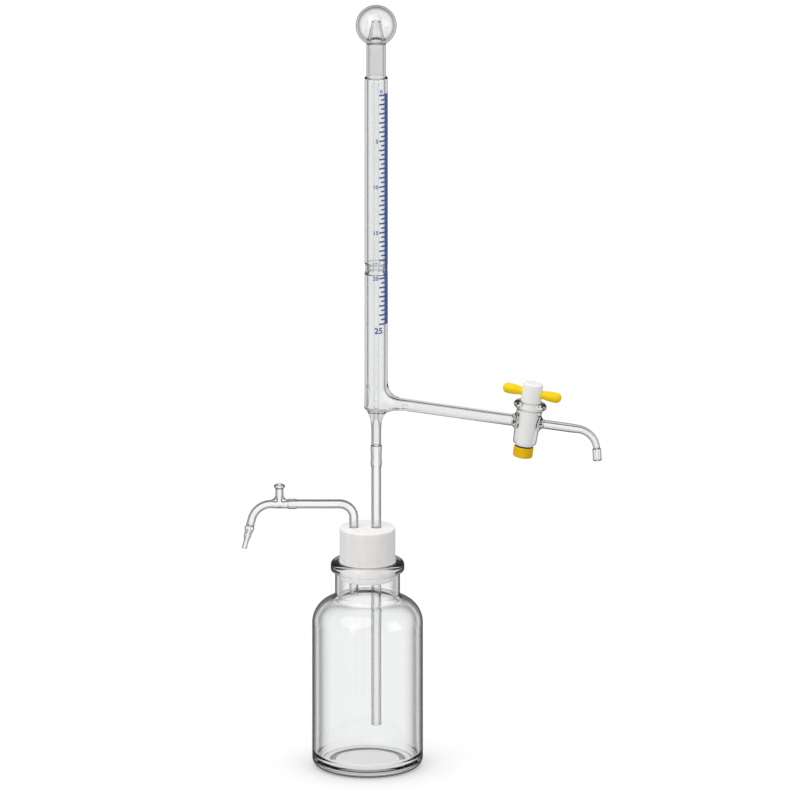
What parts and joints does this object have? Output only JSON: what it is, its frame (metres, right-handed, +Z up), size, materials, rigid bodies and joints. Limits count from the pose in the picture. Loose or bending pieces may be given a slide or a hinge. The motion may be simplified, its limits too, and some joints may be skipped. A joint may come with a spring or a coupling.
{
  "type": "automatic burette",
  "caption": "Glass automatic burette on a stoppered reagent bottle, with a side-arm stopcock, an overflow bulb and an air tube with a vent and a hose nozzle.",
  "frame": {"origin": "centre of the bottle's foot, on the surface it stands on", "axes": "+Z up along the burette, +X along the side arm towards the jet, -X towards the air tube's nozzle"},
  "size_m": [0.2793, 0.086, 0.6113],
  "materials": {
    "bottle_glass": "clear, smooth soda glass",
    "tube_glass": "clear, fire-polished borosilicate glass",
    "white_rubber": "matt white rubber",
    "white_ptfe": "waxy white PTFE",
    "yellow_plastic": "bright yellow moulded plastic",
    "golden_plastic": "golden yellow moulded plastic",
    "dark_rubber": "matt black rubber"
  },
  "bodies": {
    "bottle": {"reagent_bottle": "bottle_glass"},
    "stopper": {"rubber_stopper": "white_rubber"},
    "air_tube": {"air_elbow_tube": "tube_glass", "air_joint_collar": "tube_glass", "vent_tee_tube": "tube_glass", "vent_spout": "tube_glass", "hose_nozzle": "tube_glass"},
    "burette": {"dip_tube": "tube_glass", "stem_collar": "tube_glass", "bell_stem": "tube_glass", "lower_measuring_tube": "tube_glass", "centring_ring": "tube_glass", "upper_measuring_tube": "tube_glass", "filling_tube": "tube_glass", "head_tube": "tube_glass", "overflow_bulb": "tube_glass", "side_arm": "tube_glass", "stopcock_barrel": "tube_glass", "delivery_tube": "tube_glass", "jet_tip": "tube_glass"},
    "stopcock_key": {"stopcock_plug": "white_ptfe", "handle_rod": "yellow_plastic", "handle_knob_left": "yellow_plastic", "handle_knob_right": "yellow_plastic"},
    "nut_rings": {"ptfe_washer": "white_ptfe", "o_ring": "dark_rubber"},
    "nut": {"tension_nut": "golden_plastic"}
  },
  "joints": [
    {"name": "stopper_lift", "type": "slide", "parent": "bottle", "child": "stopper", "axis": [0, 0, 1], "range_m": [0, 0.15]},
    {"name": "air_tube_swivel", "type": "hinge", "parent": "stopper", "child": "air_tube", "pos_m": [-0.0106, 0, 0.165], "axis": [0, 0, 1], "range_deg": [-135, 135]},
    {"name": "burette_swivel", "type": "hinge", "parent": "stopper", "child": "burette", "pos_m": [0.0068, 0, 0.165], "axis": [0, 0, 1], "continuous": true},
    {"name": "stopcock_turn", "type": "hinge", "parent": "burette", "child": "stopcock_key", "pos_m": [0.12416, 0, 0.27666], "axis": [0.1444, 0, 0.9895], "continuous": true},
    {"name": "nut_travel", "type": "slide", "parent": "stopcock_key", "child": "nut_rings", "axis": [-0.1444, 0, -0.9895], "range_m": [0, 0.0025]},
    {"name": "nut_turn", "type": "hinge", "parent": "nut_rings", "child": "nut", "pos_m": [0.12416, 0, 0.27666], "axis": [-0.1444, 0, -0.9895], "range_deg": [0, 720]}
  ],
  "couplings": [
    {"joint": "nut_turn", "follows": "nut_travel", "rad_per_m": 5026.5}
  ]
}
